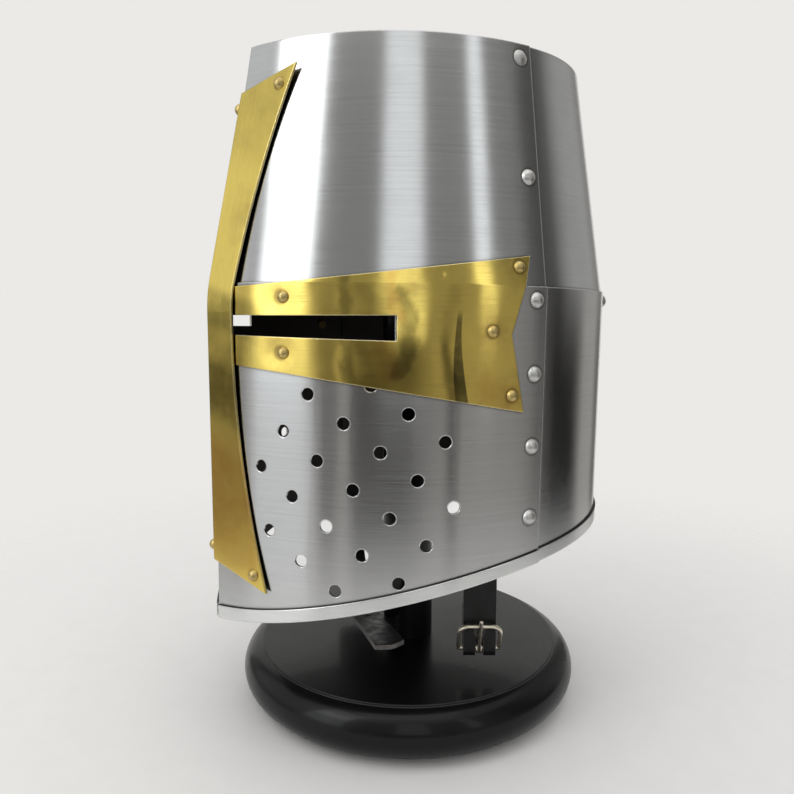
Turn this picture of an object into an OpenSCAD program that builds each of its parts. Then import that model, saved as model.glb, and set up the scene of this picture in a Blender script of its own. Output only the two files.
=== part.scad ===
// Great helm with a brass cross, on a turned display stand.
// Units are millimetres. Z is up, the face of the helm looks towards -Y and
// the wearer's left is +X. The origin is the middle of the stand's underside.

/* [Helm shell] */
// Half of the helm's width at the eye seam
helm_r = 100; // [85:0.5:115]
// Distance of the front arcs' centres across the middle plane (sets the ridge)
nose_e = 46.8; // [25:0.2:75]
// Height of the upper plates above the eye seam
top_h = 120.3; // [90:0.1:150]
// Inward slope of the upper plates
taper = 0.1525; // [0.05:0.0025:0.25]
// Thickness of every steel plate
plate_t = 1.2; // [0.8:0.1:1.6]
// Overlap of the lower plates over the upper ones
lap_h = 11; // [9:0.5:16]
// Overlap of the front plates over the rear ones
lap_v = 13; // [12:0.5:18]
// Where the rear edge of the front plates lies, from the rear arc's centre
seam_y = -2; // [-6:0.5:0]
// Height of the flange bent down all round the crown plate
crown_flange = 26; // [24:1:40]

/* [Rim] */
// Height of the lower edge at the front ridge, below the eye seam
rim_front = 178.9; // [160:0.1:200]
// Height of the lower edge at the back, below the eye seam
rim_back = 130.1; // [110:0.1:150]
// Radius of the lower edge seen from the side
rim_r = 778; // [400:1:1500]
// Height of the bright band along the lower edge
rim_band_h = 6.5; // [4:0.5:12]
// Thickness of the band along the lower edge
rim_band_t = 1.2; // [0.8:0.1:2]
// Gap of the front bands at the ridge, to each side
rim_band_gap = 1.2; // [0.5:0.1:4]

/* [Eye slits and breaths] */
// Height of the slit at its rear end
slit_rear_h = 12.1; // [8:0.1:14]
// Height of the slit beside the bar
slit_front_h = 9; // [6:0.1:12]
// Depth of the slit's middle below the eye seam
slit_drop = 21.3; // [18:0.1:25]
// Where the rear end of the slit lies, in front of the rear arc's centre
slit_rear_y = 77; // [60:0.5:95]
// Distance of the inner end of the slit from the middle plane
slit_in = 11.5; // [8:0.5:13]
// How much sooner the right slit ends than the left one
slit_short = 20; // [0:0.5:24]
// How much higher the lower edge of the right slit lies
slit_raise = 4; // [0:0.1:5]
// Diameter of one breath
breath_d = 6.3; // [4:0.1:8]
// Distance of the first breath's column from the ridge, along the plate
breath_u0 = 43; // [40:0.5:50]
// Depth of the first row of breaths below the eye seam
breath_z0 = 56.6; // [56:0.2:62]
// Step of the breaths along the plate from column to column
breath_du = 15.8; // [14:0.1:18]
// Step of the breaths downwards from row to row
breath_dz = 16.3; // [14:0.1:17]
// Slant of the breath pattern
breath_slant = 9.5; // [0:0.5:15]

/* [Brass cross] */
// Thickness of the brass sheet
brass_t = 1.0; // [0.7:0.1:1.4]
// Half width of the upright bar at its waist
bar_waist = 15.4; // [13.5:0.1:18]
// Radius of the hollow side edges of the bar
bar_side_r = 515; // [400:1:1200]
// Distance of the bar's upper points below the crown
bar_top_gap = 13.8; // [10:0.1:18]
// Depth of the bar's lower points below the eye seam
bar_low = 156.6; // [140:0.1:165]
// Depth of the notch in each end of the bar
bar_notch = 10; // [0:0.5:14]
// Slope of the bar's left face away from its fold
bar_slope = 0.46; // [0.4:0.01:0.5]
// Slope of the bar's right face away from its fold
bar_slope_r = 0.31; // [0.3:0.01:0.5]
// How much shorter the bar's right half is at each end
bar_short = 3; // [0:0.5:5]
// Radius of the bar's bend beside the slits
bar_bend_r = 90; // [40:5:200]
// Distance of the arms' inner ends from the middle plane
arm_in = 14; // [13.5:0.1:15]
// Upper edge of an arm at its rear point, above the eye seam
arm_top = 14.8; // [10:0.1:16]
// Lower edge of an arm at its rear point, below the eye seam
arm_low = 62.4; // [50:0.1:65]
// Rise of the arm's upper edge for each millimetre rearwards
arm_rise = 0.137; // [0.05:0.001:0.16]
// Fall of the arm's lower edge for each millimetre rearwards
arm_fall = 0.176; // [0.1:0.001:0.2]

/* [Rivets] */
// Head diameter of the steel rivets
steel_head_d = 8; // [6:0.1:10]
// Head height of the steel rivets
steel_head_h = 2.8; // [2:0.1:4]
// Head diameter of the brass rivets
brass_head_d = 6.2; // [5:0.1:7]
// Head height of the brass rivets
brass_head_h = 2.5; // [1.5:0.1:3]
// Head height of the flat rivets at the crown's sides
crown_head_h = 1.1; // [0.8:0.1:3]
// Shank diameter of all rivets
shank_d = 3.4; // [2.5:0.1:4]
// Distance of the seam rivets in front of the front plates' rear edge
seam_inset = 6.5; // [5:0.1:8]
// Step of the seam rivets in the lower half
seam_step = 36.7; // [30:0.1:38]
// Depth of the first seam rivet below the eye seam
seam_first = 6.7; // [5:0.1:7]

/* [Liner] */
// Thickness of the liner leather
liner_t = 2.2; // [1.5:0.1:3]
// Height of the liner's band above the eye seam
liner_up = 22; // [16:0.5:30]
// Depth of the liner's band below the eye seam
liner_down = 12; // [10:0.5:13]
// How much wider the liner's brow curve is than the helm's half width
brow_more = 4; // [2:0.5:8]
// Distance of the brow curve's centre in front of the rear arc's centre
brow_y = 8; // [0:0.5:15]
// Number of tongues of the liner
tongue_n = 8; // [6:2:12]
// Width of one tongue where it leaves the band
tongue_w = 44; // [30:1:50]
// Length of the tongues' roots that runs into the band
tongue_root = 4; // [3:0.5:8]
// Radius of the drawn-in ring of tongue ends
lace_ring_r = 38; // [34:0.5:50]
// Height of the drawn-in ring above the eye seam
lace_z = 60; // [45:1:75]
// Diameter of the lace
lace_d = 3; // [2:0.1:4]

/* [Chin straps] */
// Thickness of the strap leather
strap_t = 2.6; // [2:0.1:3.2]
// Width of the buckle strap
buckle_strap_w = 18.2; // [16:0.1:20]
// Width of the billet strap
billet_w = 18; // [14:0.2:20]
// Wire diameter of the buckle
wire_d = 2.4; // [2:0.1:3]
// Outside width of the buckle
buckle_w = 25.2; // [25:0.1:28]
// Distance of the buckle's bar to its opposite side
buckle_h = 17.3; // [14:0.1:22]
// Diameter of the prong's wire
prong_d = 2; // [1.6:0.1:2.6]
// Diameter of the billet's holes
belt_hole_d = 4; // [3:0.1:5]
// Number of holes in the billet
belt_hole_n = 4; // [2:1:5]

/* [Stand] */
// Outside radius of the base
base_r = 102; // [90:0.5:120]
// Radius of the round bead at the base's edge
bead_r = 14; // [10:0.5:15]
// Height of the raised field over the bead's top
field_h = 0.6; // [0.3:0.1:1.5]
// Diameter of the post
post_d = 30.6; // [24:0.2:32]
// Thickness of the felt under the base
felt_t = 1.5; // [1:0.1:3]
// Thickness of the felt pad on the post
pad_t = 3; // [2:0.5:5]
// Shank diameter of the screw that holds the post
screw_d = 6; // [4:0.5:8]
// Length of the screw inside the post
screw_l = 38; // [25:1:60]

/* [Seat of the helm on the stand] */
// Height of the eye seam above the ground
helm_z = 242.7; // [242:0.1:275]
// Distance of the rear arc's centre behind the post's axis
helm_y = 20.8; // [12:0.1:28]
// Tilt of the helm on the post, face up
helm_tilt = 1; // [0:0.1:3]

/* [Hidden] */
$fn = 96;
fine = 240;
eps = 0.01;

// play between a shank and its hole, in diameter
play = 0.2;
// clearance between soft pieces and the shell
soft_gap = 0.5;
// washers: thickness, gap to the liner's curved face, slack of the straps
washer_t = 1;
washer_gap = 0.35;
strap_slack = 2.1;
// gap between the band and the tongues sewn to it
tongue_gap = 0.15;

// radius of the front arcs at the eye seam
front_r = helm_r + nose_e;
// height of the bar's upper points above the eye seam
bar_top = top_h - bar_top_gap;
// radius of the liner's brow curve
brow_r = helm_r + brow_more;
// how far the upper plates' outer face lies inside the lower plates' one
up_off = plate_t;
// slope of the arms above the eye seam: they close in on the upper plates
arm_k = taper + (plate_t - 0.1) / 16;
up_ang = atan(taper);
arm_ang = atan(arm_k);

// lower edge: an arc through the ridge and the back, seen from the side
ridge_y = sqrt(front_r * front_r - nose_e * nose_e);
rim_dy = helm_r + ridge_y;
rim_dz = rim_front - rim_back;
rim_chord = sqrt(rim_dy * rim_dy + rim_dz * rim_dz);
rim_leg = sqrt(rim_r * rim_r - rim_chord * rim_chord / 4);
rim_cy = (helm_r - ridge_y) / 2 + rim_leg * rim_dz / rim_chord;
rim_cz = -(rim_front + rim_back) / 2 - rim_leg * rim_dy / rim_chord;

// fold line of the bar: lower leg, bend, upper leg
bar_low_lean = -0.78;
bar_up_lean = 10.76;
bar_cy = -(ridge_y + 4.3);
bar_cz = -5.8;
bar_tan = bar_bend_r * tan((bar_up_lean - bar_low_lean) / 2);
bar_p0 = [bar_cy - bar_tan * sin(bar_low_lean), bar_cz - bar_tan * cos(bar_low_lean)];
bar_p1 = [bar_cy + bar_tan * sin(bar_up_lean), bar_cz + bar_tan * cos(bar_up_lean)];
bar_c = [bar_p0[0] + bar_bend_r * cos(bar_low_lean),
    bar_p0[1] - bar_bend_r * sin(bar_low_lean)];

// rivet stations of the cross
bar_riv_top_z = bar_top - 7;
bar_riv_low_z = bar_low - 7;
bar_riv_top_x = 23.2;
bar_riv_low_x = 26.5;
// the same of the bar's right half
bar_riv_top_xr = 24;
bar_riv_low_xr = 24.5;
// height of the bar's waist and its half width where the points are measured
bar_waist_z = -20;
bar_end = 31;
// grips of the bar's rivets, through the bar's stand-off and the plates
bar_grip_top = 6.2;
bar_grip_low = 4.2;
bar_grip_top_r = 8.8;
bar_grip_low_r = 6.8;
arm_riv_in_phi = 36.6;
arm_riv_lap_z = -7.1;
arm_riv_in_z = -34.2;
arm_riv_mid = [-33.5, -22.3];
arm_riv_low = [-22.2, -53.7];
arm_riv_top = [-18.8, 9.1];

// seam rivets
seam_riv_y = seam_y - seam_inset;
seam_up_z = 53.9;
crown_riv_z = top_h - 7.2;
rear_riv_z = -4.8;
rear_riv_phi = 140.5;
strap_riv_z = -(seam_first + 3 * seam_step);

// breath rows: first column and count of each
breath_start = [1, 0, -1, 0, -1, 0, 1];
breath_count = [2, 3, 4, 3, 4, 3, 2];

// stand heights
base_low = felt_t;
bead_z = base_low + bead_r;
field_z = bead_z + bead_r + field_h;
field_r = base_r - bead_r + 2.4;
pad_r = post_d / 2 - 1.3;
pad_top = helm_z + (top_h - plate_t) * cos(helm_tilt)
    - (pad_r - helm_y) * sin(helm_tilt) - 0.02;
post_top = pad_top - pad_t;

// strap stations, in the stand's frame
strap_riv_wy = helm_y + seam_riv_y * cos(helm_tilt) + strap_riv_z * sin(helm_tilt);
strap_riv_wz = helm_z + strap_riv_z * cos(helm_tilt) - seam_riv_y * sin(helm_tilt);
strap_wall_x = helm_r - 2 * plate_t - 1.9;

// buckle strap: a flat tab on the wall, a transition, and a straight part
// that is turned towards the face; the buckle's bar hangs below the rivet and
// inwards of the wall
buckle_drop = 82.87;
buckle_in = 29.5;
buckle_y = 5.2;
buckle_turn = 32;
buckle_tab = 10;
buckle_rise = 44;
bar_wire_x = strap_wall_x - buckle_in;
bar_wire_z = strap_riv_wz - buckle_drop;
// faces of the folded strap, seen from the buckle's bar
fold_r = wire_d / 2 + 0.3;
fold_out = fold_r + strap_t;
fold_riv_up = 11.2;
prong_slot = 7;
frame_out = 7.3;
frame_ang = asin(frame_out / buckle_h);
frame_half = (buckle_w - wire_d) / 2;
frame_corner = 5.5;

// billet strap: side view (run inwards, height) of its outer face, below a
// flat tab on the wall; the strap turns between the tab and the path
billet_turn = -19;
billet_swing = -4.2;
billet_in = 3.1;
billet_tab = 10;
billet_path = [[1, -24], [2.1, -31.5], [6.9, -46.5], [13.6, -60.7], [23.9, -71],
    [37, -77.4], [50.1, -83.8], [68, -87.8], [86.7, -89.3], [105, -87.6],
    [123.3, -83.6], [159.8, -77.8]];
// run of the billet's first hole and the step to the next
belt_hole_run = 38;
belt_hole_step = 18;

// place children in the helm's own frame (its origin is the middle of the
// rear arc at the eye seam)
module helm_frame() {
    translate([0, helm_y, helm_z]) rotate([-helm_tilt, 0, 0]) children();
}

// solid of the helm's outline, shrunk by off; k is the slope above the seam
module front_form(off, zlo, zhi, k, ylim) {
    r0 = front_r - off;
    intersection() {
        translate([-nose_e, 0, 0]) tapered(r0, zlo, zhi, k);
        translate([nose_e, 0, 0]) tapered(r0, zlo, zhi, k);
        translate([-2 * helm_r, -3 * helm_r, zlo - 1])
            cube([4 * helm_r, 3 * helm_r + ylim, zhi - zlo + 2]);
    }
}

module rear_form(off, zlo, zhi, k) {
    intersection() {
        tapered(helm_r - off, zlo, zhi, k);
        translate([-2 * helm_r, 0, zlo - 1])
            cube([4 * helm_r, 3 * helm_r, zhi - zlo + 2]);
    }
}

// round bar: straight below z = 0, tapered above
module tapered(r, zlo, zhi, k) {
    rotate_extrude($fn = fine) polygon([
        [0, zlo],
        [r - k * max(zlo, 0), zlo],
        if (zlo < 0 && zhi > 0) [r, 0],
        [r - k * max(zhi, 0), zhi],
        [0, zhi]]);
}

// shell between two offsets in front of y = ylim
module front_shell(o, i, zlo, zhi, k, ylim) {
    difference() {
        front_form(o, zlo, zhi, k, ylim);
        front_form(i, zlo - 1, zhi + 1, k, ylim + 1);
    }
}

// shell between two offsets behind y = yfrom (yfrom is not above 0)
module rear_shell(o, i, zlo, zhi, yfrom) {
    difference() {
        union() {
            rear_form(o, zlo, zhi, taper);
            difference() {
                front_form(o, zlo, zhi, taper, 0);
                translate([-2 * helm_r, -3 * helm_r, zlo - 2])
                    cube([4 * helm_r, 3 * helm_r + yfrom, zhi - zlo + 4]);
            }
        }
        rear_form(i, zlo - 1, zhi + 1, taper);
        front_form(i, zlo - 1, zhi + 1, taper, 0);
    }
}

// everything under the helm's lower edge, raised by h
module under_rim(h) {
    translate([-2 * helm_r, rim_cy, rim_cz]) rotate([0, 90, 0])
        cylinder(h = 4 * helm_r, r = rim_r + h, $fn = 720);
}

// stations on the shell; children point outwards along +Z
module on_lower_front(y, z, off) {
    r = front_r - off;
    p = acos(-y / r);
    translate([r * sin(p) - nose_e, -r * cos(p), z]) rotate([90, 0, p]) children();
}

module on_upper_front(y, z, off, lean) {
    r = front_r - off - taper * z;
    p = acos(-y / r);
    translate([r * sin(p) - nose_e, -r * cos(p), z]) rotate([90 - lean, 0, p]) children();
}

module on_rear(phi, z, off, lean) {
    r = helm_r - off - taper * max(z, 0);
    translate([r * sin(phi), -r * cos(phi), z]) rotate([90 - lean, 0, phi]) children();
}

module both_sides() {
    children();
    mirror([1, 0, 0]) children();
}

// rivet: round head on top of z = 0, shank below and a small closed head
module rivet(hd, hh, grip) {
    rs = (hd * hd / 4 + hh * hh) / (2 * hh);
    intersection() {
        translate([0, 0, hh - rs]) sphere(r = rs);
        cylinder(h = hh + 1, d = hd + 1);
    }
    translate([0, 0, -grip - 0.5]) cylinder(h = grip + 0.5 + eps, d = shank_d);
    translate([0, 0, -grip - 1]) cylinder(h = 1, d = shank_d + 2);
}

module bore(l) {
    translate([0, 0, -l]) cylinder(h = l + 4, d = shank_d + play);
}

// stations of each rivet group on one side
module seam_stations() {
    on_upper_front(seam_riv_y, seam_up_z, up_off, up_ang) children();
    for (i = [1, 2])
        on_lower_front(seam_riv_y, -seam_first - i * seam_step, 0) children();
}

module liner_side_station() {
    on_lower_front(seam_riv_y, -seam_first, 0) children();
}

module liner_rear_stations() {
    for (p = [rear_riv_phi, 180, 360 - rear_riv_phi])
        on_rear(p, rear_riv_z, plate_t, 0) children();
}

module strap_station() {
    on_lower_front(seam_riv_y, strap_riv_z, 0) children();
}

module crown_side_station() {
    on_upper_front(seam_riv_y, crown_riv_z, up_off, up_ang) children();
}

module crown_back_station() {
    on_rear(180, crown_riv_z, 2 * plate_t, up_ang) children();
}

// stations of the bar's rivets; each is laid out for a half with the run x,
// the slope k and the height z
module bar_top_station(x, k, z) {
    translate([0, bar_p1[0], bar_p1[1]]) rotate([-bar_up_lean, 0, 0])
        translate([x, k * x, (z - bar_p1[1]) / cos(bar_up_lean)])
        rotate([90, 0, atan(k)]) children();
}

module bar_low_station(x, k, z) {
    translate([0, bar_p0[0], bar_p0[1]]) rotate([-bar_low_lean, 0, 0])
        translate([x, k * x, -(z + bar_p0[1]) / cos(bar_low_lean)])
        rotate([90, 0, atan(k)]) children();
}

module bar_top_stations() {
    bar_top_station(bar_riv_top_x, bar_slope, bar_riv_top_z) children();
    mirror([1, 0, 0])
        bar_top_station(bar_riv_top_xr, bar_slope_r, bar_riv_top_z - bar_short) children();
}

module bar_low_stations() {
    bar_low_station(bar_riv_low_x, bar_slope, bar_riv_low_z) children();
    mirror([1, 0, 0])
        bar_low_station(bar_riv_low_xr, bar_slope_r, bar_riv_low_z - bar_short) children();
}

// arm rivet that goes through the brass and both laps of the front plates
module arm_lap_station() {
    r = front_r + brass_t;
    on_lower_front(-r * cos(arm_riv_in_phi), arm_riv_lap_z, -brass_t) children();
}

module arm_low_stations() {
    r = front_r + brass_t;
    on_lower_front(-r * cos(arm_riv_in_phi), arm_riv_in_z, -brass_t) children();
    on_lower_front(arm_riv_mid[0], arm_riv_mid[1], -brass_t) children();
    on_lower_front(arm_riv_low[0], arm_riv_low[1], -brass_t) children();
}

module arm_top_station() {
    r = front_r + brass_t - arm_k * arm_riv_top[1];
    p = acos(-arm_riv_top[0] / r);
    translate([r * sin(p) - nose_e, -r * cos(p), arm_riv_top[1]])
        rotate([90 - arm_ang, 0, p]) children();
}

// half the height of the slit at the run y in front of the rear arc's centre
function slit_half(y) = (slit_front_h + (slit_rear_h - slit_front_h)
    * (1.6 * helm_r - y) / (1.6 * helm_r - slit_rear_y)) / 2;

// eye slit: tapered slot seen from the side, cut outwards from x = from;
// it ends short sooner and its lower edge lies higher by raise
module slit(from, short, raise) {
    far = 1.6 * helm_r;
    end = slit_rear_y + short;
    translate([from, 0, 0]) rotate([90, 0, 90]) linear_extrude(2 * helm_r)
        polygon([
            [-far, -slit_drop + slit_half(far)],
            [-end, -slit_drop + slit_half(end)],
            [-end, -slit_drop - slit_half(end) + raise],
            [-far, -slit_drop - slit_half(far) + raise]]);
}

// breaths of the left cheek
module breaths() {
    phi0 = asin(nose_e / front_r);
    for (row = [0 : 6], n = [0 : breath_count[row] - 1]) {
        col = breath_start[row] + 2 * n;
        u = breath_u0 + breath_du * col + breath_dz * tan(breath_slant) * row * 0.9;
        z = -breath_z0 + breath_du * tan(breath_slant) * col - breath_dz * row;
        phi = phi0 + u / front_r * 180 / PI;
        translate([front_r * sin(phi) - nose_e, -front_r * cos(phi), z])
            rotate([90, 0, phi]) translate([0, 0, -8]) cylinder(h = 16, d = breath_d);
    }
}

// stand

module stand_base() {
    color("black") difference() {
        rotate_extrude($fn = fine) union() {
            translate([0, base_low]) square([base_r - bead_r, 2 * bead_r]);
            translate([base_r - bead_r, bead_z]) circle(r = bead_r);
            translate([0, base_low]) square([field_r + 1, 2 * bead_r]);
            translate([0, base_low]) square([field_r, 2 * bead_r + field_h]);
        }
        translate([0, 0, -1]) cylinder(h = field_z + 2, d = screw_d + play);
        translate([0, 0, -1]) cylinder(h = base_low + 6, d = 2.4 * screw_d);
    }
}

module base_felt() {
    color("darkgreen") cylinder(h = felt_t, r = base_r - bead_r - 2, $fn = fine);
}

module stand_post() {
    color("black") difference() {
        translate([0, 0, field_z]) rotate_extrude() polygon([
            [0, 0],
            [post_d / 2, 0],
            [post_d / 2, post_top - field_z - 1.5],
            [post_d / 2 - 1.5, post_top - field_z],
            [0, post_top - field_z]]);
        translate([0, 0, field_z - 1]) cylinder(h = screw_l + 3, d = screw_d);
    }
}

module post_screw() {
    color("silver") difference() {
        union() {
            translate([0, 0, base_low + 5]) cylinder(h = field_z + screw_l - base_low - 5,
                d = screw_d);
            translate([0, 0, base_low + 2]) cylinder(h = 3, d = 2 * screw_d);
        }
        translate([-0.6, -screw_d, base_low + 1]) cube([1.2, 2 * screw_d, 2.2]);
    }
}

module post_pad() {
    color("gray") translate([0, 0, post_top]) cylinder(h = pad_t, r = pad_r);
}

// steel plates

module lower_front_plate() {
    color("silver") helm_frame() difference() {
        front_shell(0, plate_t, -rim_front - 20, 0, taper, seam_y);
        under_rim(0);
        slit(slit_in, 0, 0);
        mirror([1, 0, 0]) slit(slit_in, slit_short, slit_raise);
        both_sides() {
            breaths();
            seam_stations() bore(12);
            liner_side_station() bore(12);
            strap_station() bore(12);
            arm_lap_station() bore(12);
            arm_low_stations() bore(12);
        }
        bar_low_stations() bore(16);
    }
}

module upper_front_plate() {
    color("silver") helm_frame() difference() {
        front_shell(plate_t, 2 * plate_t, -lap_h, top_h, taper, seam_y);
        both_sides() {
            seam_stations() bore(12);
            liner_side_station() bore(12);
            crown_side_station() bore(12);
            arm_lap_station() bore(12);
            arm_top_station() bore(12);
        }
        bar_top_stations() bore(16);
    }
}

module upper_rear_plate() {
    color("silver") helm_frame() difference() {
        rear_shell(2 * plate_t, 3 * plate_t, -lap_h, top_h, seam_y - lap_v);
        both_sides() {
            seam_stations() bore(12);
            liner_side_station() bore(12);
            crown_side_station() bore(12);
        }
        liner_rear_stations() bore(12);
        crown_back_station() bore(12);
    }
}

module lower_rear_plate() {
    color("silver") helm_frame() difference() {
        rear_shell(plate_t, 2 * plate_t, -rim_front, 0, seam_y - lap_v);
        under_rim(0);
        // room for the upper front plate's skirt
        translate([-2 * helm_r, -3 * helm_r, -lap_h - 0.4])
            cube([4 * helm_r, 3 * helm_r + seam_y + 0.2, lap_h + 2]);
        both_sides() {
            seam_stations() bore(12);
            strap_station() bore(12);
        }
        liner_rear_stations() bore(12);
    }
}

// outline inside the upper plates: close to the front plate, and inside the
// rear plate's lap behind it
module crown_form(more, zlo, zhi) {
    yl = seam_y - lap_v - 0.3;
    front_form(2 * plate_t + more, zlo, zhi, taper, yl);
    difference() {
        front_form(3 * plate_t + more, zlo, zhi, taper, 0);
        translate([-2 * helm_r, -3 * helm_r, zlo - 2])
            cube([4 * helm_r, 3 * helm_r + yl, zhi - zlo + 4]);
    }
    rear_form(3 * plate_t + more, zlo, zhi, taper);
}

module crown_plate() {
    color("silver") helm_frame() difference() {
        crown_form(0, top_h - crown_flange, top_h);
        crown_form(plate_t, top_h - crown_flange - 1, top_h - plate_t);
        both_sides() crown_side_station() bore(12);
        bar_top_stations() bore(16);
        crown_back_station() bore(12);
    }
}

// rim bands

module front_rim() {
    difference() {
        front_shell(-rim_band_t, 0, -rim_front - 20, -rim_back, taper, seam_y);
        under_rim(0);
        difference() {
            translate([-2 * helm_r, -3 * helm_r, -2 * helm_r])
                cube([4 * helm_r, 6 * helm_r, 2 * helm_r]);
            under_rim(rim_band_h);
        }
        translate([-3 * helm_r + rim_band_gap, -3 * helm_r, -2 * helm_r])
            cube([3 * helm_r, 6 * helm_r, 2 * helm_r]);
    }
}

module front_rim_left() {
    color("white") helm_frame() front_rim();
}

module front_rim_right() {
    color("white") helm_frame() mirror([1, 0, 0]) front_rim();
}

module rear_rim_band() {
    color("white") helm_frame() difference() {
        rear_shell(plate_t - rim_band_t, plate_t, -rim_front, -rim_back + 20, seam_y + 0.3);
        under_rim(0);
        difference() {
            translate([-2 * helm_r, -3 * helm_r, -2 * helm_r])
                cube([4 * helm_r, 6 * helm_r, 2 * helm_r]);
            under_rim(rim_band_h);
        }
    }
}

// brass cross

module bar_section(w) {
    d = brass_t / cos(atan(bar_slope));
    polygon([
        [-w, bar_slope_r * w],
        [0, 0],
        [w, bar_slope * w],
        [w, bar_slope * w + d],
        [0, d],
        [-w, bar_slope_r * w + d]]);
}

module bar_strip() {
    w = 38;
    translate([0, bar_p0[0], bar_p0[1]]) rotate([-bar_low_lean, 0, 0])
        translate([0, 0, -bar_low - 10]) linear_extrude(bar_low + 10.02) bar_section(w);
    translate([0, bar_p1[0], bar_p1[1]]) rotate([-bar_up_lean, 0, 0])
        translate([0, 0, -0.02]) linear_extrude(bar_top + 10) bar_section(w);
    translate([0, bar_c[0], bar_c[1]]) rotate([0, 90, 0])
        rotate([0, 0, 270 - bar_up_lean])
        rotate_extrude(angle = bar_up_lean - bar_low_lean, $fn = 720)
        translate([bar_bend_r, 0]) rotate(90) bar_section(w);
}

// outline of the bar seen from the front
module bar_outline() {
    w = 38;
    difference() {
        polygon([
            [-w, -bar_low + bar_short - (bar_notch - bar_short) * (w - bar_end) / bar_end],
            [0, -bar_low + bar_notch],
            [w, -bar_low - bar_notch * (w - bar_end) / bar_end],
            [w, bar_top + bar_notch * (w - bar_end) / bar_end],
            [0, bar_top - bar_notch],
            [-w, bar_top - bar_short + (bar_notch - bar_short) * (w - bar_end) / bar_end]]);
        for (s = [-1, 1])
            translate([s * (bar_waist + bar_side_r), bar_waist_z])
                circle(r = bar_side_r, $fn = 720);
    }
}

module cross_bar() {
    color("gold") helm_frame() difference() {
        intersection() {
            bar_strip();
            rotate([90, 0, 0]) linear_extrude(2 * helm_r) bar_outline();
        }
        bar_top_stations() bore(16);
        bar_low_stations() bore(16);
    }
}

// outline of an arm seen from the side
module arm_outline() {
    far = 1.6 * helm_r;
    polygon([
        [-far, arm_top - arm_rise * (far - 11.8)],
        [-11.8, arm_top],
        [-23.2, -23.9],
        [-15.1, -arm_low],
        [-far, -arm_low + arm_fall * (far - 15.1)]]);
}

module cross_arm(short, raise) {
    difference() {
        intersection() {
            front_shell(-brass_t, 0, -arm_low - 2, arm_top + 2, arm_k, -5);
            translate([arm_in, 0, 0]) rotate([90, 0, 90]) linear_extrude(2 * helm_r)
                arm_outline();
        }
        slit(arm_in - 1, short, raise);
        arm_lap_station() bore(12);
        arm_low_stations() bore(12);
        arm_top_station() bore(12);
    }
}

module cross_arm_left() {
    color("gold") helm_frame() cross_arm(0, 0);
}

module cross_arm_right() {
    color("gold") helm_frame() mirror([1, 0, 0]) cross_arm(slit_short, slit_raise);
}

// rivets

module bar_rivets() {
    color("goldenrod") helm_frame() {
        bar_top_station(bar_riv_top_x, bar_slope, bar_riv_top_z)
            rivet(brass_head_d, brass_head_h, bar_grip_top);
        bar_low_station(bar_riv_low_x, bar_slope, bar_riv_low_z)
            rivet(brass_head_d, brass_head_h, bar_grip_low);
        mirror([1, 0, 0]) {
            bar_top_station(bar_riv_top_xr, bar_slope_r, bar_riv_top_z - bar_short)
                rivet(brass_head_d, brass_head_h, bar_grip_top_r);
            bar_low_station(bar_riv_low_xr, bar_slope_r, bar_riv_low_z - bar_short)
                rivet(brass_head_d, brass_head_h, bar_grip_low_r);
        }
    }
}

module arm_rivets() {
    color("goldenrod") helm_frame() both_sides() {
        arm_lap_station() rivet(brass_head_d, brass_head_h, brass_t + 2 * plate_t + 0.1);
        arm_low_stations() rivet(brass_head_d, brass_head_h, brass_t + plate_t + 0.1);
        arm_top_station() rivet(brass_head_d, brass_head_h, brass_t + plate_t + 0.85);
    }
}

module seam_rivets() {
    color("silver") helm_frame() both_sides()
        seam_stations() rivet(steel_head_d, steel_head_h, 2 * plate_t + 0.15);
}

module crown_rivets() {
    color("silver") helm_frame() {
        both_sides()
            crown_side_station() rivet(steel_head_d, crown_head_h, 3 * plate_t + 0.15);
        crown_back_station() rivet(steel_head_d, steel_head_h, 2 * plate_t + 0.15);
    }
}

module liner_rivets() {
    g = 2 * plate_t + soft_gap + liner_t + washer_gap + washer_t + 0.1;
    color("silver") helm_frame() {
        both_sides()
            liner_side_station() rivet(steel_head_d, steel_head_h, g + plate_t);
        liner_rear_stations() rivet(steel_head_d, steel_head_h, g);
    }
}

module strap_rivets() {
    color("silver") helm_frame() both_sides()
        strap_station() rivet(steel_head_d, steel_head_h,
            2 * plate_t + strap_t + strap_slack + washer_t + 0.1);
}

module washer() {
    difference() {
        translate([0, 0, -washer_t]) cylinder(h = washer_t, d = 11);
        translate([0, 0, -2]) cylinder(h = 3, d = shank_d + 0.2);
    }
}

module rivet_washers() {
    g = 2 * plate_t + soft_gap + liner_t;
    color("silver") helm_frame() {
        both_sides() {
            liner_side_station() translate([0, 0, -g - plate_t - washer_gap]) washer();
            strap_station() translate([0, 0, -2 * plate_t - strap_t - strap_slack]) washer();
        }
        liner_rear_stations() translate([0, 0, -g - washer_gap]) washer();
    }
}

// liner

// outline round the head: the shell's inside, cut by the brow curve
module liner_form(more, zlo, zhi) {
    o = 3 * plate_t + soft_gap + more;
    intersection() {
        union() {
            front_form(o, zlo, zhi, taper, 0);
            rear_form(o, zlo, zhi, taper);
        }
        translate([0, -brow_y, zlo - 1])
            cylinder(h = zhi - zlo + 2, r = brow_r - more, $fn = fine);
    }
}

// distance of the band from the ring's centre at azimuth a (0 = face)
function band_run(a) = let (
    d = helm_y - brow_y,
    front = d * cos(a) * -1 + sqrt(pow(brow_r, 2) - pow(d * sin(a), 2)),
    r = helm_r - 3 * plate_t - soft_gap - taper * 14,
    rear = helm_y * cos(a) * -1 + sqrt(pow(r, 2) - pow(helm_y * sin(a), 2)))
    (cos(a) > 0 ? min(front, helm_r - 8 + 10 * cos(a)) : rear) - liner_t - 0.6;

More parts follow.
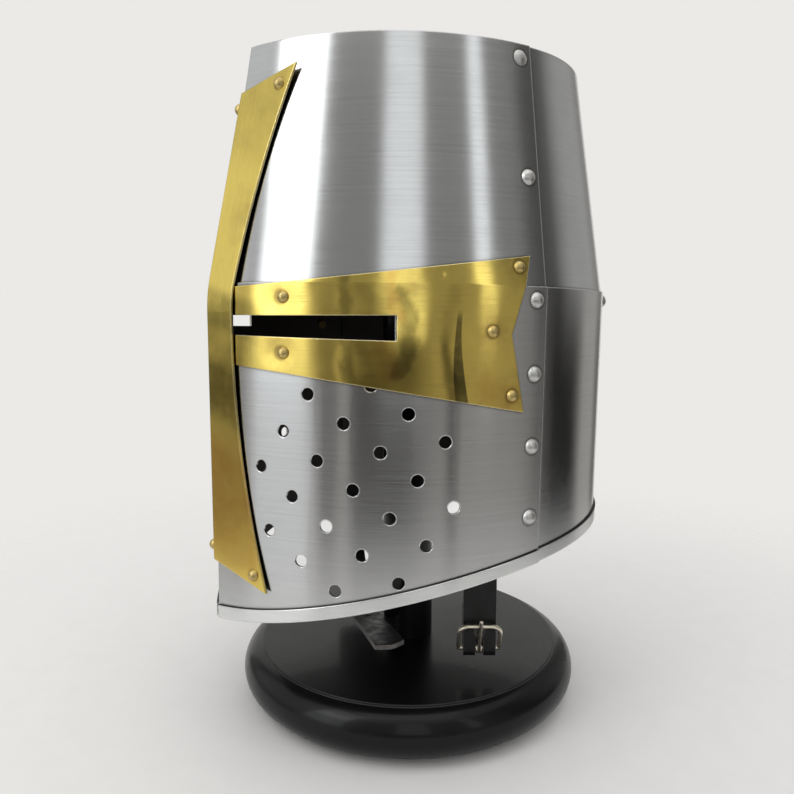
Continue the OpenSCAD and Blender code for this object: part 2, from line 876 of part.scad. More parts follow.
module tongue(a) {
    run = band_run(a) - lace_ring_r;
    rise = lace_z - 12;
    len = sqrt(run * run + rise * rise);
    lean = atan(rise / run);
    rotate([0, 0, a]) translate([0, -lace_ring_r - run, 12]) rotate([lean, 0, 0])
        difference() {
            union() {
                translate([0, 0, -liner_t / 2]) linear_extrude(liner_t) polygon([
                    [-tongue_w / 2, -tongue_root],
                    [tongue_w / 2, -tongue_root],
                    [5, len],
                    [-5, len]]);
                translate([-5, len, 0]) rotate([0, 90, 0])
                    cylinder(h = 10, d = lace_d + 1.4 + 2 * liner_t);
            }
            translate([-8, len, 0]) rotate([0, 90, 0]) cylinder(h = 16, d = lace_d + 1.4);
        }
}

module liner_band() {
    color("saddlebrown") helm_frame() difference() {
        liner_form(0, -liner_down, liner_up);
        liner_form(liner_t, -liner_down - 1, liner_up + 1);
        both_sides() liner_side_station() bore(14);
        liner_rear_stations() bore(14);
    }
}

// the tongues are sewn to the band's inner face
module liner_tongues() {
    color("saddlebrown") helm_frame() intersection() {
        liner_form(liner_t + tongue_gap, -liner_down, top_h - 10);
        translate([0, -helm_y, 0]) for (i = [0 : tongue_n - 1])
            tongue((i + 0.5) * 360 / tongue_n);
    }
}

module liner_lace() {
    color("wheat") helm_frame() translate([0, -helm_y, lace_z])
        rotate_extrude() translate([lace_ring_r, 0]) circle(d = lace_d, $fn = 24);
}

// chin straps

// strip of thickness t to the left of a path
function step_dir(p, i) = let (
    a = p[max(i - 1, 0)],
    b = p[min(i + 1, len(p) - 1)],
    d = b - a) d / norm(d);
function strip(p, t) = concat(
    p,
    [for (i = [len(p) - 1 : -1 : 0])
        let (d = step_dir(p, i)) p[i] + t * [-d[1], d[0]]]);

// place children in the frame of the strap's hanging part: the origin is the
// middle of the buckle's bar, the strap's face looks along +X
module buckle_place() {
    translate([bar_wire_x, buckle_y, bar_wire_z]) rotate([0, 0, -buckle_turn]) children();
}

module buckle_strap() {
    w = buckle_strap_w / 2;
    color("dimgray") difference() {
        union() {
            translate([strap_wall_x - strap_t, strap_riv_wy - w, strap_riv_wz - buckle_tab])
                cube([strap_t, 2 * w, 2 * buckle_tab]);
            hull() {
                translate([strap_wall_x - strap_t, strap_riv_wy - w, strap_riv_wz - buckle_tab])
                    cube([strap_t, 2 * w, 0.5]);
                buckle_place() translate([fold_r - 0.05, -w - 0.05, buckle_rise])
                    cube([strap_t + 0.1, 2 * w + 0.1, 0.5]);
            }
            buckle_place() translate([0, w, 0]) rotate([90, 0, 0])
                linear_extrude(2 * w) union() {
                    translate([fold_r, 0]) square([strap_t, buckle_rise + 0.2]);
                    difference() {
                        circle(r = fold_out);
                        circle(r = fold_r);
                        translate([-20, 0]) square([40, 20]);
                    }
                    translate([-fold_out, 0]) square([strap_t, 25]);
                }
        }
        buckle_place() {
            // slot of the prong
            translate([-10, -2.2, -10]) cube([20, 4.4, 10 + prong_slot]);
            translate([-20, 0, fold_riv_up]) rotate([0, 90, 0])
                cylinder(h = 40, d = shank_d + play);
        }
        helm_frame() strap_station() bore(20);
    }
}

module fold_rivet() {
    color("silver") buckle_place() translate([fold_out, 0, fold_riv_up]) rotate([0, 90, 0])
        difference() {
            union() {
                cylinder(h = 0.7, d = 6.6);
                translate([0, 0, -2 * fold_out - 0.5])
                    cylinder(h = 2 * fold_out + 0.5 + eps, d = shank_d);
                translate([0, 0, -2 * fold_out - 0.9]) cylinder(h = 0.9, d = 6.6);
            }
            translate([0, 0, -1]) cylinder(h = 3, d = 2);
        }
}

// closed wire frame in its own plane: bar along X at y = 0, the rest at y > 0
module wire_frame() {
    h = buckle_h;
    c = frame_corner;
    translate([-frame_half, 0, 0]) rotate([0, 90, 0]) cylinder(h = 2 * frame_half, d = wire_d);
    for (s = [-1, 1]) {
        translate([s * frame_half, 0, 0]) sphere(d = wire_d);
        translate([s * frame_half, 0, 0]) rotate([-90, 0, 0]) cylinder(h = h - c, d = wire_d);
    }
    translate([frame_half - c, h - c, 0]) rotate_extrude(angle = 90)
        translate([c, 0]) circle(d = wire_d);
    translate([-frame_half + c, h - c, 0]) rotate([0, 0, 90]) rotate_extrude(angle = 90)
        translate([c, 0]) circle(d = wire_d);
    translate([-frame_half + c, h, 0]) rotate([0, 90, 0])
        cylinder(h = 2 * (frame_half - c), d = wire_d);
}

module buckle_frame() {
    color("lightgray") buckle_place()
        rotate([0, frame_ang, 0]) rotate([90, 0, 90]) wire_frame();
}

module buckle_prong() {
    out = frame_out + (wire_d + prong_d) / 2 + 0.2;
    up = buckle_h * cos(frame_ang) + 0.5;
    ang = atan(out / up);
    l = sqrt(out * out + up * up) + 5;
    loop_r = wire_d / 2 + 0.2;
    low = asin((loop_r + 0.75) / l);
    color("lightgray") buckle_place()
        rotate([0, ang, 0]) {
            difference() {
                union() {
                    rotate([90, 0, 0]) cylinder(h = 3, r = loop_r + 1.5, center = true);
                    translate([loop_r + 0.75, 0, 0]) rotate([0, -low, 0])
                        cylinder(h = l, d = prong_d);
                }
                rotate([90, 0, 0]) cylinder(h = 8, r = loop_r, center = true);
            }
            translate([loop_r + 0.75, 0, 0]) rotate([0, -low, 0])
                translate([0, 0, l]) sphere(d = prong_d);
        }
}

// place children in the frame of the turned part of the billet
module billet_frame() {
    translate([-strap_wall_x + billet_in, strap_riv_wy, strap_riv_wz])
        rotate([billet_swing, 0, 0]) rotate([0, 0, billet_turn]) children();
}

module billet_strap() {
    n = len(billet_path) - 1;
    w = billet_w / 2;
    color("dimgray") difference() {
        union() {
            translate([-strap_wall_x, strap_riv_wy - w, strap_riv_wz - billet_tab])
                cube([strap_t, 2 * w, 2 * billet_tab]);
            hull() {
                translate([-strap_wall_x, strap_riv_wy - w, strap_riv_wz - billet_tab])
                    cube([strap_t, 2 * w, 0.5]);
                billet_frame() translate([billet_path[0][0], -w, billet_path[0][1]])
                    cube([strap_t, 2 * w, 0.5]);
            }
            billet_frame() difference() {
                translate([0, w, 0]) rotate([90, 0, 0]) linear_extrude(2 * w)
                    polygon(strip(billet_path, strap_t));
                for (i = [0 : belt_hole_n - 1])
                    translate([belt_hole_run + i * belt_hole_step, 0, -110])
                        cylinder(h = 40, d = belt_hole_d);
                // bevelled far corner of the tip
                translate([billet_path[n][0], w, -110]) rotate([0, 0, 30])
                    translate([-8, 0, 0]) cube([20, 12, 60]);
            }
        }
        helm_frame() mirror([1, 0, 0]) strap_station() bore(20);
    }
}

stand_base();
base_felt();
stand_post();
post_screw();
post_pad();
upper_front_plate();
lower_front_plate();
upper_rear_plate();
lower_rear_plate();
crown_plate();
front_rim_left();
front_rim_right();
rear_rim_band();
cross_bar();
cross_arm_left();
cross_arm_right();
bar_rivets();
arm_rivets();
seam_rivets();
crown_rivets();
liner_rivets();
strap_rivets();
rivet_washers();
liner_band();
liner_tongues();
liner_lace();
buckle_strap();
fold_rivet();
buckle_frame();
buckle_prong();
billet_strap();
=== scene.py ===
"""Looks of a great helm on its display stand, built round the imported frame.

Metres, Z up, the helm faces -Y and the wearer's left is +X.
"""

import math

import bmesh
import bpy
from mathutils import Matrix, Vector


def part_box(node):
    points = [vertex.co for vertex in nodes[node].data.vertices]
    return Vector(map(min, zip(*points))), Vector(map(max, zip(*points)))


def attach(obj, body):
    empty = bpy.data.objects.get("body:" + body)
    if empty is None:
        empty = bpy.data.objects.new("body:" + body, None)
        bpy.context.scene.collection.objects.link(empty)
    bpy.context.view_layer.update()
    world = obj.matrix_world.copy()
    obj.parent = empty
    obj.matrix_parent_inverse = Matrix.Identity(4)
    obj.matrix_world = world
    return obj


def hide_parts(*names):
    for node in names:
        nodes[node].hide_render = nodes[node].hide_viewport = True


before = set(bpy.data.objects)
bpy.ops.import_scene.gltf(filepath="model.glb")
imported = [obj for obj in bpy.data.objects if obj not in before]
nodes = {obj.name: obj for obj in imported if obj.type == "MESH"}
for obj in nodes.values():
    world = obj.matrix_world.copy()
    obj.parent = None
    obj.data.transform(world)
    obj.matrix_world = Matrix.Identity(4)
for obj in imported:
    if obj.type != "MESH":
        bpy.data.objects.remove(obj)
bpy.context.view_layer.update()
MM = 0.001

# the helm's own frame: middle of its rear arc at the height of the eye seam
HELM_Y, HELM_Z, HELM_TILT = 0.0208, 0.2427, -1
HELM = Matrix.Translation((0, HELM_Y, HELM_Z)) @ Matrix.Rotation(math.radians(HELM_TILT), 4, "X")

# radius of the rear arc, how far the centres of the two front arcs lie off the middle,
# how much the radius shrinks per metre of height, and the thickness of a plate
HELM_R, NOSE_E, TAPER, PLATE = 0.100, 0.0468, 0.1525, 0.0012
FRONT_R = HELM_R + NOSE_E


# ---------------------------------------------------------------- node helpers


class Shader:
    """A material and short calls that add its nodes."""

    def __init__(self, name):
        self.material = bpy.data.materials.new(name)
        self.material.use_nodes = True
        self.tree = self.material.node_tree
        self.bsdf = self.tree.nodes["Principled BSDF"]
        self.coord = self.tree.nodes.new("ShaderNodeTexCoord").outputs["Object"]

    def put(self, socket, value):
        """Links a socket to another or gives it a value, and leaves it alone for None."""
        if isinstance(value, bpy.types.NodeSocket):
            self.tree.links.new(value, socket)
        elif value is not None:
            socket.default_value = value

    def set(self, **values):
        """Sets inputs of the Principled BSDF, with _ for each space in their names."""
        for key, value in values.items():
            self.put(self.bsdf.inputs[key.replace("_", " ")], value)

    def math(self, operation, a, b=None, c=None, clamp=False):
        n = self.tree.nodes.new("ShaderNodeMath")
        n.operation = operation
        n.use_clamp = clamp
        for socket, value in zip(n.inputs, (a, b, c)):
            self.put(socket, value)
        return n.outputs[0]

    def vector_math(self, operation, a, b=None, scale=None, result="Vector"):
        n = self.tree.nodes.new("ShaderNodeVectorMath")
        n.operation = operation
        self.put(n.inputs[0], a)
        self.put(n.inputs[1], b)
        if scale is not None:
            self.put(n.inputs["Scale"], scale)
        return n.outputs[result]

    def xyz(self, vector):
        n = self.tree.nodes.new("ShaderNodeSeparateXYZ")
        self.put(n.inputs[0], vector)
        return n.outputs

    def vector(self, x, y, z):
        n = self.tree.nodes.new("ShaderNodeCombineXYZ")
        for socket, value in zip(n.inputs, (x, y, z)):
            self.put(socket, value)
        return n.outputs[0]

    def noise(self, vector, scale, detail=3.0, roughness=0.55):
        n = self.tree.nodes.new("ShaderNodeTexNoise")
        self.put(n.inputs["Vector"], vector)
        n.inputs["Scale"].default_value = scale
        n.inputs["Detail"].default_value = detail
        n.inputs["Roughness"].default_value = roughness
        return n.outputs["Fac"]

    def cells(self, vector, scale):
        n = self.tree.nodes.new("ShaderNodeTexVoronoi")
        self.put(n.inputs["Vector"], vector)
        n.inputs["Scale"].default_value = scale
        return n.outputs["Distance"]

    def span(self, value, low, high, to_low=0.0, to_high=1.0):
        """Maps value from low..high to to_low..to_high, smoothly and clamped."""
        n = self.tree.nodes.new("ShaderNodeMapRange")
        n.interpolation_type = "SMOOTHSTEP"
        for socket, v in zip(n.inputs, (value, low, high, to_low, to_high)):
            self.put(socket, v)
        return n.outputs[0]

    def fade(self, value, inner, outer):
        """1 up to the inner value, 0 from the outer one on."""
        return self.span(value, inner, outer, 1.0, 0.0)

    def mix(self, factor, a, b):
        n = self.tree.nodes.new("ShaderNodeMix")
        n.data_type = "RGBA"
        self.put(n.inputs["Factor"], factor)
        for key, value in (("A", a), ("B", b)):
            socket = [s for s in n.inputs if s.name == key and s.type == "RGBA"][0]
            self.put(socket, value if isinstance(value, bpy.types.NodeSocket) else (*value, 1.0))
        return [s for s in n.outputs if s.type == "RGBA"][0]

    def bump(self, height, distance, strength=1.0, before=None):
        n = self.tree.nodes.new("ShaderNodeBump")
        n.inputs["Strength"].default_value = strength
        n.inputs["Distance"].default_value = distance
        self.put(n.inputs["Height"], height)
        self.put(n.inputs["Normal"], before)
        return n.outputs[0]

    def crevice_shade(self, distance):
        """1 deep in corners and along laps, 0 on open faces: the mask for painted shade."""
        n = self.tree.nodes.new("ShaderNodeAmbientOcclusion")
        n.samples = 8
        n.inputs["Distance"].default_value = distance
        return self.fade(n.outputs["AO"], 0.5, 0.96)

    def rounded(self, radius):
        """Normals rounded at the edges, and a mask of the edges."""
        n = self.tree.nodes.new("ShaderNodeBevel")
        n.samples = 4
        n.inputs["Radius"].default_value = radius
        soft = n.outputs["Normal"]
        plain = self.tree.nodes.new("ShaderNodeNewGeometry").outputs["Normal"]
        alike = self.vector_math("DOT_PRODUCT", soft, plain, result="Value")
        return soft, self.fade(alike, 0.8, 0.99)

    def near(self, point, inner, outer):
        """1 within the inner radius of the point, 0 from the outer one on."""
        away = self.vector_math("DISTANCE", self.coord, point, result="Value")
        return self.fade(away, inner, outer)

    def along(self, run, inner, outer):
        """1 on the line through the points, 0 from the outer distance on, with an uneven edge."""
        sway = self.tree.nodes.new("ShaderNodeTexNoise")
        self.put(sway.inputs["Vector"], self.coord)
        sway.inputs["Scale"].default_value = 130
        wave = self.vector_math("SUBTRACT", sway.outputs["Color"], (0.5, 0.5, 0.5))
        wave = self.vector_math("SCALE", wave, scale=0.007)
        coord = self.vector_math("ADD", self.coord, wave)
        masks = []
        for a, b in zip(run, run[1:]):
            way = self.vector_math("SUBTRACT", coord, a)
            part = self.vector_math("DOT_PRODUCT", way, b - a, result="Value")
            part = self.math("DIVIDE", part, (b - a).length_squared, clamp=True)
            foot = self.vector_math("SCALE", b - a, scale=part)
            away = self.vector_math("SUBTRACT", way, foot)
            away = self.vector_math("LENGTH", away, result="Value")
            masks.append(self.fade(away, inner, outer))
        return self.any_of(masks)

    def any_of(self, factors):
        total = factors[0]
        for f in factors[1:]:
            total = self.math("MAXIMUM", total, f)
        return total

    def round_sheet(self, along, across):
        """Coordinates that run round the helm and up it, for a grain that runs round it."""
        x, y, z = self.xyz(self.coord)
        turn = self.math("ARCTAN2", x, self.math("SUBTRACT", y, HELM_Y))
        turn = self.math("MULTIPLY", turn, HELM_R * along)
        return self.vector(turn, self.math("MULTIPLY", z, across), 0.0)

    def from_axis(self):
        """Distance from the stand's upright axis."""
        x, y, _ = self.xyz(self.coord)
        total = self.math("ADD", self.math("MULTIPLY", x, x), self.math("MULTIPLY", y, y))
        return self.math("SQRT", total)


def on_front(y, z, off):
    """A point on the left front plates, off inwards of the lower plate's face."""
    r = FRONT_R - off - TAPER * max(z, 0)
    return HELM @ Vector((math.sqrt(r * r - y * y) - NOSE_E, y, z))


def flipped(points):
    """The same points on the helm's other side."""
    return [Vector((-p.x, p.y, p.z)) for p in points]


def both_sides(points):
    return points + flipped(points)


# rivet places, for the marks that they leave on the sheet round them
ARM_RIVETS = both_sides(
    [
        on_front(-0.1187, -0.0071, 0),
        on_front(-0.1187, -0.0342, 0),
        on_front(-0.0335, -0.0223, 0),
        on_front(-0.0222, -0.0537, 0),
        on_front(-0.0188, 0.0091, 0),
    ]
)
SEAM_RIVETS = both_sides(
    [on_front(-0.0085, z, 0) for z in (-0.0067, -0.0434, -0.0801, -0.1168)]
    + [on_front(-0.0085, z, PLATE) for z in (0.0539, 0.1131)]
)

# soft dents of the beaten brass: places on the arms, reach and depth
DENTS = [
    (both_sides([on_front(-0.0645, -0.029, 0)]), 0.026, 0.0007),
    (both_sides([on_front(-0.094, -0.0075, 0), on_front(-0.094, -0.038, 0)]), 0.011, -0.0002),
    (both_sides([on_front(-0.120, -0.010, 0), on_front(-0.120, -0.034, 0)]), 0.012, -0.0003),
    (both_sides([on_front(-0.058, 0.004, 0)]), 0.0035, -0.0002),
]


# ------------------------------------------------------------------- materials


def inside(s):
    """1 on faces that look into the helm, 0 on those that look out of it."""
    middle = (0, HELM_Y, 0.2)
    normal = s.tree.nodes.new("ShaderNodeTexCoord").outputs["Normal"]
    away = s.vector_math("SUBTRACT", s.coord, middle)
    return s.fade(s.vector_math("DOT_PRODUCT", away, normal, result="Value"), -0.05, -0.035)


def brushed_round(s, amount):
    """Grain that runs round the helm: reflections stay crisp sideways and smear upwards."""
    tangent = s.tree.nodes.new("ShaderNodeTangent")
    tangent.direction_type = "RADIAL"
    tangent.axis = "Z"
    s.set(Tangent=tangent.outputs[0], Anisotropic=amount, Anisotropic_Rotation=0.25)


def steel(name, colour, rough, spread, marks=()):
    """Brushed steel with a dark ring round the rivets that marks gives, and with painted shade
    inside the helm and in crevices.
    """
    s = Shader(name)
    grain = s.noise(s.round_sheet(20, 1300), 1.0, 4.0, 0.7)
    haze = s.noise(s.coord, 30, 4.0, 0.6)
    streaks = s.noise(s.round_sheet(8, 700), 1.0, 3.0, 0.6)
    lines = s.noise(s.round_sheet(14, 900), 1.0, 5.0, 0.8)
    speck = s.noise(s.coord, 420, 3.0, 0.7)
    painted_shade_inside = inside(s)
    tone = s.mix(s.span(haze, 0.3, 0.7), colour, [0.93 * c for c in colour])
    tone = s.mix(s.span(streaks, 0.3, 0.75, 0.0, 0.4), tone, [1.08 * c for c in colour])
    tone = s.mix(s.span(lines, 0.5, 0.72, 0.0, 0.5), tone, [0.8 * c for c in colour])
    tone = s.mix(s.span(speck, 0.71, 0.8, 0.0, 0.5), tone, (0.2, 0.2, 0.19))
    if marks:
        # a dark ring round each rivet head
        rivet_ring = s.any_of([s.near(p, 0.0036, 0.0056) for p in marks])
        tone = s.mix(s.math("MULTIPLY", rivet_ring, 0.7), tone, (0.09, 0.085, 0.085))
    soft, edge = s.rounded(0.001)
    # painted shade: the steel is darker in corners, along laps and round rivet heads
    tone = s.mix(s.math("MULTIPLY", s.crevice_shade(0.002), 0.7), tone, (0.05, 0.048, 0.046))
    # paler edges: partly worn bright, partly a painted highlight
    tone = s.mix(edge, tone, (0.97, 0.98, 0.98))
    # painted shade: faces inside the helm are painted near black
    tone = s.mix(painted_shade_inside, tone, s.mix(haze, (0.012, 0.011, 0.010), (0.035, 0.030, 0.026)))
    blur = s.math("ADD", s.math("MULTIPLY", grain, 0.6), s.math("MULTIPLY", haze, 0.4))
    worn = s.span(blur, 0.3, 0.7, rough - spread, rough + spread)
    s.set(Base_Color=tone, Metallic=s.span(painted_shade_inside, 0.0, 1.0, 1.0, 0.2))
    s.set(Roughness=s.math("ADD", worn, s.math("MULTIPLY", painted_shade_inside, 0.4)))
    brushed_round(s, 0.7)
    waves = s.noise(s.coord, 14, 2.0)
    s.set(Normal=s.bump(grain, 0.00001, 0.35, s.bump(waves, 0.0006, 0.22, soft)))
    return s.material


OLIVE, DARK, ORANGE = (0.17, 0.14, 0.035), (0.10, 0.075, 0.02), (0.62, 0.33, 0.07)

# tarnish lines on the arms: y and z of their points in the helm's frame, where they
# start to fade, where they end, depth and colour
TARNISH = [
    ([(-0.0965, 0.004), (-0.0965, -0.016)], 0.0015, 0.0055, 0.55, OLIVE),
    ([(-0.0960, -0.030), (-0.0955, -0.048)], 0.0015, 0.0055, 0.55, OLIVE),
    ([(-0.0748, -0.006), (-0.0716, -0.014), (-0.0708, -0.024), (-0.0722, -0.035),
      (-0.0755, -0.042)], 0.0018, 0.0056, 0.62, OLIVE),
    ([(-0.0795, 0.004), (-0.0785, -0.012), (-0.0755, -0.016)], 0.0006, 0.005, 0.5, ORANGE),
    ([(-0.0825, -0.031), (-0.0790, -0.042)], 0.002, 0.008, 0.45, ORANGE),
    ([(-0.0900, -0.054), (-0.0600, -0.062), (-0.0200, -0.068)], 0.001, 0.006, 0.45, ORANGE),
    ([(-0.0350, -0.050), (-0.0250, -0.055)], 0.002, 0.011, 0.4, ORANGE),
]

# tarnish across the bar: height above the eye seam, half height, soft edge, depth and colour
BAR_TARNISH = [
    (0.110, 0.025, 0.03, 0.3, OLIVE),
    (-0.0085, 0.006, 0.007, 0.6, OLIVE),
    (-0.050, 0.009, 0.010, 0.62, DARK),
    (-0.040, 0.020, 0.018, 0.4, OLIVE),
    (-0.108, 0.022, 0.020, 0.62, ORANGE),
]


def brass(name, colour, marks):
    """Polished brass, brushed up the bar and round the helm on the arms."""
    s = Shader(name)
    x, y, z = s.xyz(s.coord)
    low = s.math("SUBTRACT", z, HELM_Z)
    on_bar = s.fade(s.math("ABSOLUTE", x), 0.024, 0.034)
    grain = s.noise(s.round_sheet(30, 1200), 1.0, 4.0, 0.7)
    upright = s.vector(*(s.math("MULTIPLY", v, k) for v, k in ((x, 1500), (y, 200), (z, 20))))
    upright = s.noise(upright, 1.0, 3.0, 0.7)
    brush = s.math("MULTIPLY", on_bar, s.math("SUBTRACT", upright, grain))
    brush = s.math("ADD", grain, brush)
    patch = s.noise(s.coord, 26, 4.0, 0.6)
    cloud = s.noise(s.coord, 70, 3.0, 0.6)
    tone = s.mix(s.span(patch, 0.5, 0.75, 0.0, 0.6), colour, (0.56, 0.43, 0.12))
    tone = s.mix(s.span(cloud, 0.6, 0.82, 0.0, 0.5), tone, (0.68, 0.38, 0.10))
    tone = s.mix(s.span(brush, 0.48, 0.75, 0.0, 0.45), tone, [0.7 * c for c in colour])
    for places, inner, outer, depth, stain in TARNISH:
        run = [on_front(*p, 0) for p in places]
        spot = s.any_of([s.along(side, inner, outer) for side in (run, flipped(run))])
        spot = s.math("MULTIPLY", spot, s.span(cloud, 0.3, 0.6, 0.75 * depth, depth))
        tone = s.mix(spot, tone, stain)
    slant = s.math("ADD", low, s.math("MULTIPLY", x, 0.35))
    for middle, half, fading, depth, stain in BAR_TARNISH:
        away = s.math("ABSOLUTE", s.math("SUBTRACT", slant, middle))
        spot = s.math("MULTIPLY", on_bar, s.fade(away, half, half + fading))
        spot = s.math("MULTIPLY", spot, s.span(cloud, 0.3, 0.65, 0.6 * depth, depth))
        tone = s.mix(spot, tone, stain)

    # a painted dark reflection, bowed, near the wide end of each arm, that starts 10 to 18 mm
    # below the eye seam and widens downwards
    bow = s.math("POWER", s.math("ABSOLUTE", s.math("ADD", low, 0.030)), 2.0)
    off = s.math("SUBTRACT", y, s.math("MULTIPLY", bow, 3.0))
    off = s.math("ABSOLUTE", s.math("ADD", off, 0.0302))
    half = s.span(low, -0.055, -0.012, 0.0026, 0.0008)
    dark_reflection = s.fade(off, half, s.math("ADD", half, 0.0006))
    dark_reflection = s.math("MULTIPLY", dark_reflection, s.fade(low, -0.018, -0.010))
    dark_reflection = s.math("MULTIPLY", dark_reflection, s.span(cloud, 0.3, 0.6, 0.7, 0.9))
    tone = s.mix(dark_reflection, tone, (0.10, 0.085, 0.03))

    # a brown bloom round each rivet and a dark ring close to it
    ring = s.any_of([s.near(p, 0.0029, 0.0050) for p in marks])
    bloom = s.any_of([s.near(p, 0.004, 0.014) for p in marks])
    bloom = s.math("MULTIPLY", bloom, s.span(cloud, 0.35, 0.65, 0.0, 0.5))
    tone = s.mix(bloom, tone, (0.46, 0.30, 0.08))
    tone = s.mix(s.math("MULTIPLY", ring, 0.6), tone, (0.14, 0.09, 0.03))
    soft, edge = s.rounded(0.0008)
    # painted shade: the brass is darker in corners, along laps and round rivet heads
    tone = s.mix(s.math("MULTIPLY", s.crevice_shade(0.0022), 0.75), tone, (0.10, 0.065, 0.02))
    # paler edges: partly worn bright, partly a painted highlight
    tone = s.mix(s.math("MULTIPLY", edge, 0.9), tone, (1.0, 0.93, 0.66))
    painted_shade_inside = inside(s)
    # painted shade: faces inside the helm are painted dark
    s.set(Base_Color=s.mix(painted_shade_inside, tone, (0.10, 0.07, 0.03)), Metallic=1.0)
    blur = s.math("ADD", s.math("MULTIPLY", brush, 0.5), s.math("MULTIPLY", patch, 0.5))
    worn = s.span(blur, 0.3, 0.7, 0.09, 0.2)
    s.set(Roughness=s.math("ADD", worn, s.math("MULTIPLY", painted_shade_inside, 0.3)))
    brushed_round(s, 0.35)
    dents = s.noise(s.coord, 34, 2.0, 0.4)
    form = s.bump(dents, 0.0006, 0.5, soft)
    for places, outer, depth in DENTS:
        beaten = s.any_of([s.near(p, 0.0, outer) for p in places])
        form = s.bump(beaten, depth, 1.0, form)
    s.set(Normal=s.bump(brush, 0.00001, 0.35, form))
    return s.material


def small_metal(name, colour, rough, dirt=(0.2, 0.17, 0.12)):
    """Metal of rivets and fittings, dulled with dirt."""
    s = Shader(name)
    speck = s.noise(s.coord, 900, 4.0, 0.6)
    wear = s.noise(s.coord, 260, 3.0)
    tone = s.mix(s.span(wear, 0.5, 0.8, 0.0, 0.5), colour, dirt)
    s.set(Base_Color=tone, Metallic=1.0)
    s.set(Roughness=s.span(speck, 0.3, 0.7, rough - 0.06, rough + 0.08))
    s.set(Normal=s.bump(speck, 0.00003, 0.25))
    return s.material


def lacquer():
    """Black lacquer over turned wood, paler on the edges: partly where it is thin, partly a painted
    highlight.
    """
    s = Shader("black_lacquer")
    _, _, z = s.xyz(s.coord)
    rings = [s.math("MULTIPLY", v, 900) for v in (s.from_axis(), z)]
    turning = s.noise(s.vector(*rings, 0.0), 1.0, 2.0)
    dust = s.noise(s.coord, 1400, 2.0, 0.7)
    smear = s.noise(s.coord, 22, 4.0)
    tone = s.mix(s.span(dust, 0.7, 0.78, 0.0, 0.5), (0.004, 0.004, 0.0045), (0.03, 0.028, 0.027))
    soft, edge = s.rounded(0.0008)
    # paler edges: partly thin lacquer, partly a painted highlight
    tone = s.mix(s.math("MULTIPLY", edge, 0.6), tone, (0.09, 0.09, 0.088))
    s.set(Base_Color=tone, Roughness=s.span(smear, 0.3, 0.7, 0.24, 0.34))
    s.set(Specular_IOR_Level=0.15, Coat_Weight=0.16, Coat_Roughness=0.08)
    s.set(Normal=s.bump(turning, 0.00006, 0.35, s.bump(smear, 0.0004, 0.2, soft)))
    return s.material


def leather(name, colour, pale, rough, fuzz=0.0):
    """Leather with pores and folds, and with loose fibres where fuzz is above 0."""
    s = Shader(name)
    pores = s.cells(s.coord, 1500)
    folds = s.noise(s.coord, 160, 5.0, 0.65)
    fibre = s.noise(s.coord, 1900, 4.0, 0.8)
    tone = s.mix(s.span(folds, 0.4, 0.75), colour, pale)
    if fuzz:
        tone = s.mix(s.span(fibre, 0.45, 0.7, 0.0, fuzz), tone, [min(1.0, 2.2 * c) for c in pale])
    s.set(Base_Color=tone, Roughness=s.span(folds, 0.3, 0.7, rough - 0.12, rough + 0.15))
    s.set(Sheen_Weight=0.15 if fuzz else 0.02, Specular_IOR_Level=0.28)
    height = s.math("ADD", s.math("MULTIPLY", pores, 0.6), s.math("MULTIPLY", fibre, 0.4 + fuzz))
    s.set(Normal=s.bump(height, 0.0003, 0.5, s.bump(folds, 0.0008, 0.4)))
    return s.material


def felt(name, colour):
    s = Shader(name)
    fibre = s.noise(s.coord, 2400, 5.0, 0.8)
    clump = s.noise(s.coord, 240, 3.0)
    tone = s.mix(s.span(fibre, 0.35, 0.7), [0.6 * c for c in colour], [1.5 * c for c in colour])
    tone = s.mix(s.span(clump, 0.3, 0.7, 0.0, 0.5), tone, colour)
    s.set(Base_Color=tone, Roughness=0.95, Sheen_Weight=0.5)
    s.set(Normal=s.bump(fibre, 0.0005, 0.8))
    return s.material


def thread(name, colour):
    s = Shader(name)
    twist = s.noise(s.coord, 3000, 3.0)
    s.set(Base_Color=s.mix(twist, [0.6 * c for c in colour], colour), Roughness=0.8)
    s.set(Normal=s.bump(twist, 0.0002, 0.6))
    return s.material


PLATES = steel("steel_plate", (0.57, 0.575, 0.575), 0.2, 0.03, SEAM_RIVETS)
# the rims' steel is paler than the plates': partly polish, partly a painted highlight
RIM = steel("polished_steel", (0.76, 0.77, 0.77), 0.2, 0.04)
BRASS = brass("brass_sheet", (0.86, 0.66, 0.165), ARM_RIVETS)
RIVET = small_metal("rivet_steel", (0.62, 0.62, 0.61), 0.4)
BRASS_RIVET = small_metal("rivet_brass", (0.58, 0.45, 0.18), 0.4, (0.3, 0.2, 0.08))
FITTING = small_metal("fitting_steel", (0.5, 0.5, 0.5), 0.4)
WIRE = small_metal("nickel_wire", (0.88, 0.82, 0.68), 0.36, (0.5, 0.4, 0.22))
BLACKED = small_metal("blacked_rivet", (0.06, 0.058, 0.055), 0.38, (0.03, 0.028, 0.025))
LACQUER = lacquer()
STRAP = leather("strap_grain_side", (0.005, 0.005, 0.005), (0.013, 0.012, 0.012), 0.42)
FLESH = leather("strap_flesh_side", (0.022, 0.021, 0.020), (0.05, 0.047, 0.043), 0.8, 0.5)
CUT = leather("strap_cut_edge", (0.05, 0.047, 0.044), (0.14, 0.13, 0.12), 0.8, 0.5)
LINER = leather("liner_leather", (0.20, 0.11, 0.055), (0.30, 0.18, 0.10), 0.6)
LINER_EDGE = leather("liner_cut_edge", (0.30, 0.20, 0.12), (0.42, 0.30, 0.19), 0.8, 0.3)
LACE = leather("lace_leather", (0.26, 0.17, 0.09), (0.36, 0.25, 0.15), 0.6)
THREAD = thread("waxed_thread", (0.55, 0.47, 0.33))
PAD_FELT = felt("grey_felt", (0.10, 0.10, 0.10))
BASE_FELT = felt("green_felt", (0.03, 0.08, 0.045))

